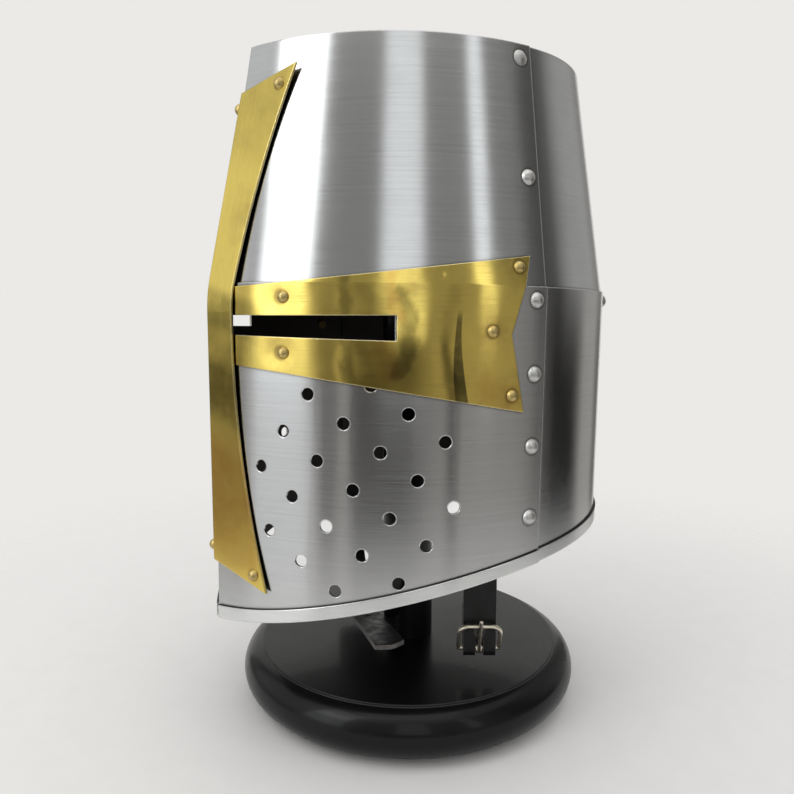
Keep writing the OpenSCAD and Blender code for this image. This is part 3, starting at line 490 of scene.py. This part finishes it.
FINISH = {
    PLATES: ["upper_front_plate", "lower_front_plate", "upper_rear_plate", "lower_rear_plate",
             "crown_plate"],
    RIM: ["front_rim_left", "front_rim_right", "rear_rim_band"],
    BRASS: ["cross_bar", "cross_arm_left", "cross_arm_right"],
    BRASS_RIVET: ["bar_rivets", "arm_rivets"],
    RIVET: ["seam_rivets", "crown_rivets", "liner_rivets", "strap_rivets"],
    FITTING: ["rivet_washers", "post_screw"],
    BLACKED: ["fold_rivet"],
    WIRE: ["buckle_frame", "buckle_prong"],
    LACQUER: ["stand_base", "stand_post"],
}
for material, names in FINISH.items():
    for name in names:
        data = nodes[name].data
        data.materials.clear()
        data.materials.append(material)


# ---------------------------------------------------------------- mesh helpers


def new_object(name, mesh, materials):
    obj = bpy.data.objects.new(name, mesh)
    bpy.context.scene.collection.objects.link(obj)
    for m in materials:
        mesh.materials.append(m)
    return obj


def mesh_of(name, bm):
    mesh = bpy.data.meshes.new(name)
    bm.to_mesh(mesh)
    bm.free()
    return mesh


def round_steps(count):
    """Angles at even steps round a full turn."""
    return [2 * math.pi * k / count for k in range(count)]


def smooth(obj, angle):
    for p in obj.data.polygons:
        p.use_smooth = True
    obj.data.set_sharp_from_angle(angle=math.radians(angle))


def apply_modifiers(obj):
    bpy.context.view_layer.update()
    evaluated = obj.evaluated_get(bpy.context.evaluated_depsgraph_get())
    mesh = bpy.data.meshes.new_from_object(evaluated)
    obj.modifiers.clear()
    old = obj.data
    obj.data = mesh
    bpy.data.meshes.remove(old)


def curve_points(points, per):
    """A smooth run through the points, with so many steps per piece (Catmull-Rom)."""
    pts = [Vector(p) for p in points]
    ends = [2 * pts[0] - pts[1], *pts, 2 * pts[-1] - pts[-2]]
    out = []
    for i in range(1, len(ends) - 2):
        a, b, c, d = ends[i - 1 : i + 3]
        for k in range(per):
            t = k / per
            square, cube = 2 * a - 5 * b + 4 * c - d, 3 * b - a - 3 * c + d
            out.append(0.5 * (2 * b + (c - a) * t + square * t**2 + cube * t**3))
    return out + [pts[-1]]


def ribbon(name, rows, thick, materials, closed=False, drop=None, bevel=0.0005):
    """A strap of leather.

    Its rows of points lie on its middle surface: each goes across it, one after the other
    along its length. Faces that drop(row, column) is true for are left out. The three
    materials are those of its two sides and of its edges.
    """
    bm = bmesh.new()
    grid = [[bm.verts.new(p) for p in row] for row in rows]
    n = len(grid)
    for i in range(n if closed else n - 1):
        for j in range(len(grid[0]) - 1):
            if drop and drop(i, j):
                continue
            row, after = grid[i], grid[(i + 1) % n]
            bm.faces.new((row[j], row[j + 1], after[j + 1], after[j]))
    obj = new_object(name, mesh_of(name, bm), materials)
    solid = obj.modifiers.new("solid", "SOLIDIFY")
    solid.thickness = thick
    solid.offset = 0
    solid.use_even_offset = True
    solid.material_offset = 1
    solid.material_offset_rim = 2
    edge = obj.modifiers.new("edge", "BEVEL")
    edge.width = bevel
    edge.segments = 3
    edge.limit_method = "ANGLE"
    edge.angle_limit = math.radians(50)
    apply_modifiers(obj)
    smooth(obj, 35)
    return obj


def stitches(name, runs, length=0.0028, gap=0.0012, size=0.0005):
    """Short thread pieces along runs of points."""

    def at(run, way):
        """The point that lies this far along the run, None past its end."""
        for a, b in zip(run, run[1:]):
            if way <= (b - a).length:
                return a.lerp(b, way / (b - a).length)
            way -= (b - a).length
        return None

    bm = bmesh.new()
    bmesh.ops.create_uvsphere(bm, u_segments=8, v_segments=5, radius=size)
    bead = [v.co.copy() for v in bm.verts]
    sides = [[v.index for v in f.verts] for f in bm.faces]
    bm.free()
    points, faces = [], []
    for run in runs:
        start = 0.0
        while (q := at(run, start + length)) is not None:
            p = at(run, start)
            turn = (q - p).to_track_quat("Z", "Y").to_matrix().to_4x4()
            stretch = Matrix.Diagonal((1, 0.8, (q - p).length / (2 * size), 1))
            place = Matrix.Translation((p + q) / 2) @ turn @ stretch
            faces += [[len(points) + k for k in side] for side in sides]
            points += [place @ v for v in bead]
            start += length + gap
    mesh = bpy.data.meshes.new(name)
    mesh.from_pydata(points, [], faces)
    obj = new_object(name, mesh, [THREAD])
    smooth(obj, 60)
    return obj


# ----------------------------------------------------------------- chin straps

STRAP_T = 0.0026
# the left strap's rivet on the face that the strap lies against; the right one mirrors it
RIVET = Vector((0.0957, 0.0105, 0.12606))
# the middle of the buckle's bar, the turn of the buckle and the radius of its wire
BAR = Vector((0.0662, 0.0052, 0.0432))
BUCKLE_TURN = math.radians(-32)
WIRE_R = 0.0012


def eased(a, b, k):
    """A point between two, that leaves and arrives upright."""
    s = k * k * (3 - 2 * k)
    return Vector((a.x + (b.x - a.x) * s, a.y + (b.y - a.y) * s, a.z + (b.z - a.z) * k))


def buckle_strap():
    """The left strap: its fold round the buckle's bar, and its way up to the rivet."""
    place = Matrix.Translation(BAR) @ Matrix.Rotation(BUCKLE_TURN, 4, "Z")
    fold_r = WIRE_R + 0.0003 + STRAP_T / 2
    half = 0.0091
    columns = [-1, -0.96, -0.8, -0.5, -0.24, 0.24, 0.5, 0.8, 0.96, 1]
    slot_column, slot_top = 4, 0.00665
    path = [(-fold_r, k * 0.0246) for k in (1, 0.75, 0.5, 0.25)]
    folded = len(path)
    bend = [math.pi * (1 + k / 12) for k in range(13)]
    path += [(fold_r * math.cos(t), fold_r * math.sin(t)) for t in bend]
    path += [(fold_r, k * MM) for k in (2, 4, 6.6, 9, 12, 16, 20, 25, 30, 35, 40, 44)]
    rows = [[place @ Vector((x, half * c, z)) for c in columns] for x, z in path]
    straight_end = rows[-1]
    tab = [RIVET + Vector((-STRAP_T / 2, half * c, -0.010)) for c in columns]
    for k in [n / 10 for n in range(1, 10)]:
        rows.append([eased(a, b, k) for a, b in zip(straight_end, tab)])
    for lift in (0, 0.005, 0.010, 0.015, 0.020):
        rows.append([p + Vector((0, 0, lift)) for p in tab])

    def in_slot(i, j):
        """The slot for the prong, round the fold."""
        if j != slot_column or not folded <= i < len(path) - 1:
            return False
        return (path[i][1] + path[i + 1][1]) / 2 < slot_top

    return ribbon("buckle_strap_leather", rows, STRAP_T, [STRAP, FLESH, CUT], drop=in_slot)


def billet_strap():
    """The right strap: from its rivet down and across the base, with four holes."""
    rivet = Vector((-RIVET.x, RIVET.y, RIVET.z))
    turn, swing = math.radians(-19), math.radians(-4.2)
    place = (Matrix.Translation(rivet + Vector((0.0031, -0.0002, 0)))
             @ Matrix.Rotation(swing, 4, "X") @ Matrix.Rotation(turn, 4, "Z"))
    half, t = 0.009, STRAP_T / 2
    # the lie of its underside in mm: across the helm from the rivet, and up from it
    path = [(1, -24), (2.1, -31.5), (6.9, -46.5), (13.6, -60.7), (23.9, -71), (37, -77.4),
            (50.1, -83.8), (68, -87.8), (86.7, -89.3), (105, -87.6), (123.3, -83.6), (159.8, -77.8)]
    run = curve_points([(x * MM, 0, z * MM) for x, z in path], 6)
    middle = []
    for i, p in enumerate(run):
        d = (run[min(i + 1, len(run) - 1)] - run[max(i - 1, 0)]).normalized()
        middle.append(p + Vector((-d.z, 0, d.x)) * t)
    columns = [-1, -0.96, -0.75, -0.4, 0, 0.4, 0.75, 0.96, 1]
    heights = (0.010, 0.005, 0, -0.005, -0.010)
    rows = [[rivet + Vector((t, half * c, z)) for c in columns] for z in heights]
    tab = rows[-1]
    first = [place @ (middle[0] + Vector((0, half * c, 0))) for c in columns]
    for k in (0.15, 0.35, 0.6, 0.82):
        rows.append([eased(a, b, k) for a, b in zip(tab, first)])
    # the tip is cut slantwise: the last rows draw back, the more the further across
    slant = 10 * MM
    last = len(middle) - 1
    for i, p in enumerate(middle):
        d = (middle[min(i + 1, last)] - middle[max(i - 1, 0)]).normalized()
        near_tip = max(0.0, (i - (last - 5)) / 5)
        row = []
        for c in columns:
            back = max(0.0, c - 0.1) * slant * near_tip
            row.append(place @ (p + Vector((0, half * c, 0)) - d * back))
        rows.append(row)
    obj = ribbon("billet_strap_leather", rows, STRAP_T, [FLESH, STRAP, CUT])
    hole_r = 0.002
    cutters = bmesh.new()
    for i in range(4):
        made = bmesh.ops.create_cone(
            cutters, cap_ends=True, segments=20, radius1=hole_r, radius2=hole_r, depth=0.04
        )
        spot = place @ Matrix.Translation(((38 + 18 * i) * MM, 0, -0.083))
        bmesh.ops.transform(cutters, matrix=spot, verts=made["verts"])
    tool = new_object("punch", mesh_of("punch", cutters), [CUT])
    punch = obj.modifiers.new("holes", "BOOLEAN")
    punch.operation = "DIFFERENCE"
    punch.object = tool
    apply_modifiers(obj)
    bpy.data.objects.remove(tool)
    smooth(obj, 35)
    return obj


left_strap = buckle_strap()
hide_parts("buckle_strap")
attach(left_strap, "buckle_strap")
right_strap = billet_strap()
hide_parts("billet_strap")
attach(right_strap, "billet_strap")


# ----------------------------------------------------------------------- liner

LINER_T = 0.0022
# how far the liner's outside keeps from the faces of the lower front plate
LINER_OFF = 3 * PLATE + 0.0005
# the curve that the liner takes across the brow, where it leaves the plates
BROW_R, BROW_Y = 0.104, -0.008
# the ring of the lace: its radius, height over the eye seam and thickness
RING_R, LACE_Z, LACE_D = 0.038, 0.060, 0.003
LACE_MIDDLE = Vector((0, -HELM_Y, 0))
TONGUES = 8
TONGUE_COLUMNS = (-1, -0.95, -0.7, -0.35, 0, 0.35, 0.7, 0.95, 1)
TONGUE_TIP_HALF = 0.005


def liner_reach(angle, z, off):
    """Distance from the brow curve's centre to the liner's face, off inwards of its outside."""
    direction = Vector((math.sin(angle), -math.cos(angle)))
    origin = Vector((0, BROW_Y))
    lean = TAPER * max(z, 0)
    best = BROW_R - off
    circles = [(Vector((-NOSE_E, 0)), FRONT_R), (Vector((NOSE_E, 0)), FRONT_R)]
    for middle, r in circles + [(Vector((0, 0)), HELM_R)]:
        r = r - LINER_OFF - off - lean
        gap = origin - middle
        half = gap.dot(direction)
        reach = -half + math.sqrt(half * half - gap.dot(gap) + r * r)
        point = origin + direction * reach
        if (r > HELM_R) == (point.y < 0):
            best = min(best, reach)
    return best


def liner_point(angle, z, off):
    reach = liner_reach(angle, z, off)
    return HELM @ Vector((math.sin(angle) * reach, BROW_Y - math.cos(angle) * reach, z))


def liner_band():
    heights = [-0.012, -0.0115, -0.006, 0.0, 0.006, 0.012, 0.018, 0.0215, 0.022]
    rows = [[liner_point(t, z, LINER_T / 2) for z in heights] for t in round_steps(120)]
    return ribbon("liner_band_leather", rows, LINER_T, [LINER, LINER, LINER_EDGE], closed=True)


def tongue_frame(index):
    """Where a tongue's root and tip have their middles, and the direction across it."""
    turn = (index + 0.5) * 2 * math.pi / TONGUES
    out = Vector((math.sin(turn), -math.cos(turn), 0))
    # from the lace's middle outwards in small steps, until the band's inner face is met
    reach = 0.03
    while reach < 0.12:
        d = LACE_MIDDLE + out * reach - Vector((0, BROW_Y, 0))
        if d.length > liner_reach(math.atan2(d.x, -d.y), 0.012, LINER_T):
            break
        reach += 0.0002
    root = LACE_MIDDLE + out * (reach - 0.0008) + Vector((0, 0, 0.010))
    tip = LACE_MIDDLE + out * RING_R + Vector((0, 0, LACE_Z))
    across = Vector((math.cos(turn), math.sin(turn), 0))
    return root, tip, across


def liner_tongues():
    """The tongues as one object, and the runs of their seams."""
    made, seams = [], []
    for index in range(TONGUES):
        root, tip, across = tongue_frame(index)
        up = (tip - root).normalized()
        out = up.cross(across).normalized()
        rows = []
        length = (tip - root).length
        for k in range(15):
            s = k / 14
            half = 0.0215 * (1 - s) ** 0.85 + TONGUE_TIP_HALF
            sag = -0.0012 * math.sin(math.pi * s)
            row = []
            for c in TONGUE_COLUMNS:
                p = root + up * (s * (length - 0.004)) + across * (half * c)
                # the root follows the band's inner face
                if s < 0.3:
                    d = p - Vector((0, BROW_Y, p.z))
                    limit = liner_reach(math.atan2(d.x, -d.y), p.z, LINER_T + 0.0012)
                    if d.length > limit:
                        d *= limit / d.length
                        p = Vector((d.x, BROW_Y + d.y, p.z))
                row.append(HELM @ (p + out * sag))
            rows.append(row)
        # the end turns round the lace
        ring = (LACE_D + 0.0014) / 2 + LINER_T / 2
        for t in [k * math.pi / 6 for k in range(1, 11)]:
            p = tip + (-up * math.cos(t) + out * math.sin(t)) * ring
            rows.append([HELM @ (p + across * (TONGUE_TIP_HALF * c)) for c in TONGUE_COLUMNS])
        sides = [LINER, LINER, LINER_EDGE]
        made.append(ribbon(f"tongue_{index}", rows, LINER_T, sides, bevel=0.0004))
        for lift in (0.0035, 0.0065):
            seam = root + up * lift - out * 0.0015
            seams.append([HELM @ (seam + across * (0.0195 * (c / 10))) for c in range(-10, 11)])
    bpy.ops.object.select_all(action="DESELECT")
    for obj in made:
        obj.select_set(True)
    bpy.context.view_layer.objects.active = made[0]
    bpy.ops.object.join()
    made[0].name = "liner_tongues_leather"
    return made[0], seams


def lace():
    """The drawn-up lace: an uneven ring, with ripples from its twist."""
    points, radii = [], []
    for t in round_steps(160):
        reach = RING_R + 0.0004 * math.sin(5 * t) + 0.0003 * math.sin(11 * t + 1)
        spot = LACE_MIDDLE + Vector((reach * math.sin(t), -reach * math.cos(t), LACE_Z))
        points.append(HELM @ spot)
        radii.append(LACE_D / 2 * (0.94 + 0.05 * math.sin(90 * t)))
    bm = bmesh.new()
    count, segments = len(points), 12
    rings = []
    for i, (p, r) in enumerate(zip(points, radii)):
        d = (points[(i + 1) % count] - points[i - 1]).normalized()
        side = d.cross(Vector((0, 0, 1))).normalized()
        up = side.cross(d)
        rings.append([bm.verts.new(p + (side * math.cos(t) + up * math.sin(t)) * r)
                      for t in round_steps(segments)])
    for i, ring in enumerate(rings):
        after = rings[(i + 1) % count]
        for k in range(segments):
            j = (k + 1) % segments
            bm.faces.new((ring[k], ring[j], after[j], after[k]))
    bmesh.ops.recalc_face_normals(bm, faces=bm.faces)
    obj = new_object("liner_lace_ring", mesh_of("liner_lace_ring", bm), [LACE])
    smooth(obj, 50)
    return obj


band = liner_band()
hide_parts("liner_band")
tongues, seams = liner_tongues()
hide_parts("liner_tongues")
drawstring = lace()
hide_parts("liner_lace")
turns = round_steps(180) + [2 * math.pi]
hems = [[liner_point(t, z, LINER_T + 0.0001) for t in turns] for z in (-0.0095, 0.0195)]
sewing = stitches("liner_stitches", hems + seams)
for piece in (band, tongues):
    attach(piece, "helm")
for piece in (drawstring, sewing):
    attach(piece, "helm")


# ------------------------------------------------------------------------ felt


def felt_disc(name, radius, low, high, material):
    """A disc with rounded edges and a slightly uneven outline."""
    bm = bmesh.new()
    cut = 0.0004
    profile = [(0, low), (radius * 0.5, low), (radius - cut, low), (radius, low + cut),
               (radius, high - cut), (radius - cut, high), (radius * 0.5, high), (0, high)]
    steps = 96
    rings = []
    for r, z in profile:
        if r == 0:
            rings.append([bm.verts.new((0, 0, z))])
            continue
        wave = 0.0002 if r > radius * 0.9 else 0.0
        ring = []
        for t in round_steps(steps):
            x = (r + wave * math.sin(17 * t)) * math.cos(t)
            y = (r + wave * math.sin(23 * t)) * math.sin(t)
            ring.append(bm.verts.new((x, y, z)))
        rings.append(ring)
    for a, b in zip(rings, rings[1:]):
        for k in range(steps):
            j = (k + 1) % steps
            if len(a) == 1:
                bm.faces.new((a[0], b[j], b[k]))
            elif len(b) == 1:
                bm.faces.new((a[k], a[j], b[0]))
            else:
                bm.faces.new((a[k], a[j], b[j], b[k]))
    bmesh.ops.recalc_face_normals(bm, faces=bm.faces)
    obj = new_object(name, mesh_of(name, bm), [material])
    smooth(obj, 50)
    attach(obj, "stand")
    return obj


# the outline's waves stay within the CAD disc
WAVE_ROOM = 0.0002
low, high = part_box("base_felt")
base_disc = felt_disc("base_felt_disc", high.x - WAVE_ROOM, low.z, high.z, BASE_FELT)
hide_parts("base_felt")
low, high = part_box("post_pad")
pad_disc = felt_disc("post_pad_disc", high.x - WAVE_ROOM, low.z, high.z, PAD_FELT)
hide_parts("post_pad")


# -------------------------------------------------------------- floor and light


def floor():
    """A pale disc that fades out into the background."""
    bm = bmesh.new()
    bmesh.ops.create_circle(bm, cap_ends=True, segments=96, radius=0.9)
    s = Shader("pale_floor")
    grit = s.noise(s.coord, 60, 4.0)
    s.set(Base_Color=s.mix(grit, (0.74, 0.73, 0.71), (0.79, 0.78, 0.76)), Roughness=0.7)
    s.set(Alpha=s.fade(s.from_axis(), 0.22, 0.6))
    obj = new_object("floor", mesh_of("floor", bm), [s.material])
    obj.location.z = -0.0002


# the studio's upper and lower walls: their plain level, and their windows and dark
# screens, each with the azimuth of its middle in degrees from -Y towards +X, its half
# width, its soft edge and its level
UPPER_WALLS = 0.29, [
    (-38, 24, 6, 0.8), (4.5, 13, 2.5, 2.5), (61, 10, 2.5, 1.2), (99.5, 4, 1.5, 1.45),
    (134, 11, 6, 0.09), (172, 18, 8, 0.45),
]
LOWER_WALLS = 0.17, [
    (-40, 22, 8, 0.35), (4, 17, 5, 0.85), (50, 16, 5, 0.07), (35, 3, 2, 0.42),
    (98, 24, 8, 0.34), (84, 2.5, 1.5, 0.08), (148, 14, 6, 0.01), (180, 12, 5, 0.42),
]
WALL_R, WALL_H, WALL_MIDDLE = 1.6, 2.8, 0.4
OPEN_FROM, OPEN_TO = 205, 285


def walls():
    """Round glowing studio walls beside and behind the camera, open on the side that it looks at;
    they light nothing, cast no shadow and show only in reflections.
    """
    bm = bmesh.new()
    bmesh.ops.create_cone(
        bm, cap_ends=False, segments=128, radius1=WALL_R, radius2=WALL_R, depth=WALL_H
    )
    open_side = []
    for face in bm.faces:
        m = face.calc_center_median()
        if OPEN_FROM < math.degrees(math.atan2(m.x, -m.y)) % 360 < OPEN_TO:
            open_side.append(face)
    bmesh.ops.delete(bm, geom=open_side, context="FACES")
    s = Shader("studio_walls")
    x, y, z = s.xyz(s.coord)
    azimuth = s.math("DEGREES", s.math("ARCTAN2", x, s.math("MULTIPLY", y, -1.0)))

    def level(base, screens):
        value = base
        for middle, half, edge, bright in screens:
            away = s.math("WRAP", s.math("SUBTRACT", azimuth, middle), 180.0, -180.0)
            over = s.fade(s.math("ABSOLUTE", away), half - edge, half + edge)
            value = s.math("MULTIPLY_ADD", over, s.math("SUBTRACT", bright, value), value)
        return value

    upper, lower = level(*UPPER_WALLS), level(*LOWER_WALLS)
    rise = s.span(z, -0.32, 0.02)
    glow = s.math("MULTIPLY_ADD", rise, s.math("SUBTRACT", upper, lower), lower)
    shade = s.mix(rise, (1.0, 0.96, 0.91), (1.0, 0.985, 0.95))
    tint = s.mix(s.span(glow, 0.3, 1.0), shade, (0.97, 0.99, 1.0))
    s.set(Base_Color=(0, 0, 0, 1), Roughness=1.0, Specular_IOR_Level=0.0)
    s.set(Emission_Color=tint, Emission_Strength=glow)
    obj = new_object("walls", mesh_of("walls", bm), [s.material])
    obj.location.z = WALL_MIDDLE
    obj.visible_camera = False
    obj.visible_diffuse = False
    obj.visible_shadow = False


def studio():
    """Plain world: pale for the camera and the metal alike, a little lighter as a light."""
    world = bpy.data.worlds.new("studio")
    bpy.context.scene.world = world
    world.use_nodes = True
    tree = world.node_tree
    tree.nodes.clear()

    def add(kind, *inputs):
        n = tree.nodes.new(kind)
        for socket, value in zip(n.inputs, inputs):
            if isinstance(value, bpy.types.NodeSocket):
                tree.links.new(value, socket)
            else:
                socket.default_value = value
        return n

    light = add("ShaderNodeBackground", (0.92, 0.92, 0.93, 1.0), 1.0)
    plain = add("ShaderNodeBackground", (0.83, 0.82, 0.80, 1.0), 1.0)
    path = tree.nodes.new("ShaderNodeLightPath").outputs
    seen = add("ShaderNodeMath", path["Is Camera Ray"], path["Is Glossy Ray"])
    seen.operation = "MAXIMUM"
    seen = add("ShaderNodeMath", seen.outputs[0], path["Is Transmission Ray"])
    seen.operation = "MAXIMUM"
    choose = add("ShaderNodeMixShader", seen.outputs[0], light.outputs[0], plain.outputs[0])
    out = tree.nodes.new("ShaderNodeOutputWorld")
    tree.links.new(choose.outputs[0], out.inputs["Surface"])


# the height that the lights face, about the middle of the helm and its stand
AIM_Z = 0.18


def soft_light(name, azimuth, elevation, distance, size, power):
    """An area light of so many metres and watts, from azimuth and elevation in degrees."""
    a, e = math.radians(azimuth), math.radians(elevation)
    away = Vector((math.sin(a) * math.cos(e), -math.cos(a) * math.cos(e), math.sin(e)))
    data = bpy.data.lights.new(name, "AREA")
    data.shape = "RECTANGLE"
    data.size, data.size_y = size
    data.energy = power
    obj = bpy.data.objects.new(name, data)
    bpy.context.scene.collection.objects.link(obj)
    obj.location = away * distance + Vector((0, 0, AIM_Z))
    obj.rotation_euler = away.to_track_quat("Z", "Y").to_euler()


def camera():
    """The photograph's camera, as it was solved from the photograph."""
    data = bpy.data.cameras.new("camera")
    data.sensor_width = 36
    data.lens = 32.463
    obj = bpy.data.objects.new("camera", data)
    bpy.context.scene.collection.objects.link(obj)
    obj.location = (0.368107, -0.233583, 0.231218)
    looks_along = Vector((-0.84638, 0.518787, -0.120424))
    obj.rotation_euler = looks_along.to_track_quat("-Z", "Y").to_euler()
    data.clip_start = 0.01
    bpy.context.scene.camera = obj


floor()
walls()
studio()
soft_light("window", 4, 42, 1.3, (0.5, 0.7), 2)
soft_light("top", 60, 80, 1.2, (1.0, 1.0), 2)
camera()
bpy.context.scene.view_settings.view_transform = "Standard"
